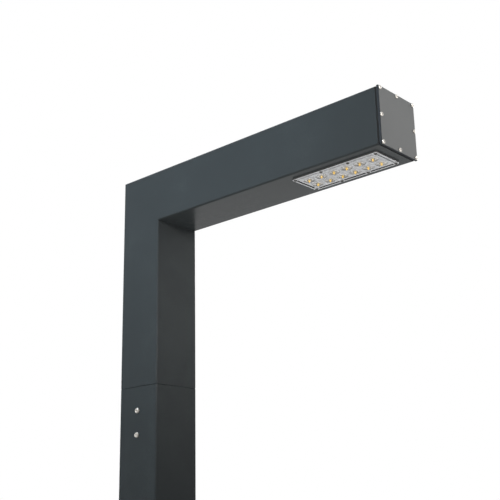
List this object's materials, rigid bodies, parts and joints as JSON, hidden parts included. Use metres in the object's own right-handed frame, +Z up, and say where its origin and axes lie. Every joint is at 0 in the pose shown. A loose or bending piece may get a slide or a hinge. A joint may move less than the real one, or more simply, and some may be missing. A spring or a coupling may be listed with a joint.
{
  "type": "post top light",
  "caption": "Square post top light: an L-shaped head of square tube on a post with a base plate, with a lens-covered LED module under its arm and a screwed end plate.",
  "frame": {"origin": "on the post's axis, at the underside of the base plate", "axes": "+Z up along the post, +X along the arm towards the end plate"},
  "size_m": [0.6892, 0.25, 2.5],
  "materials": {
    "anthracite_paint": "satin",
    "plate_paint": "satin",
    "galvanised_steel": "matte",
    "stainless_steel": "satin",
    "blackened_steel": "satin",
    "black_rubber": "matte",
    "bare_aluminium": "satin",
    "grey_silicone": "matte",
    "white_board": "satin",
    "white_ceramic": "satin",
    "yellow_phosphor": "satin",
    "white_plastic": "satin",
    "driver_case": "satin",
    "clear_lens": "gloss"
  },
  "bodies": {
    "root": {"base_plate": "anthracite_paint", "post_tube": "anthracite_paint", "elbow_housing": "anthracite_paint", "end_plate": "plate_paint", "spigot": "galvanised_steel", "gear_tray": "galvanised_steel", "spigot_nuts": "stainless_steel", "post_screws": "stainless_steel", "end_plate_screws": "stainless_steel", "lens_screws": "blackened_steel", "board_screws": "stainless_steel", "tray_nuts": "stainless_steel", "driver_screws": "stainless_steel", "terminal_screws": "stainless_steel", "earth_screw": "stainless_steel", "end_gasket": "black_rubber", "lens_gasket": "grey_silicone", "lead_grommet": "black_rubber", "heat_sink": "bare_aluminium", "thermal_pad": "grey_silicone", "led_board": "white_board", "led_bases": "white_ceramic", "led_phosphors": "yellow_phosphor", "board_connector": "white_plastic", "terminal_block": "white_plastic", "led_driver": "driver_case", "lens_array": "clear_lens"}
  },
  "joints": []
}
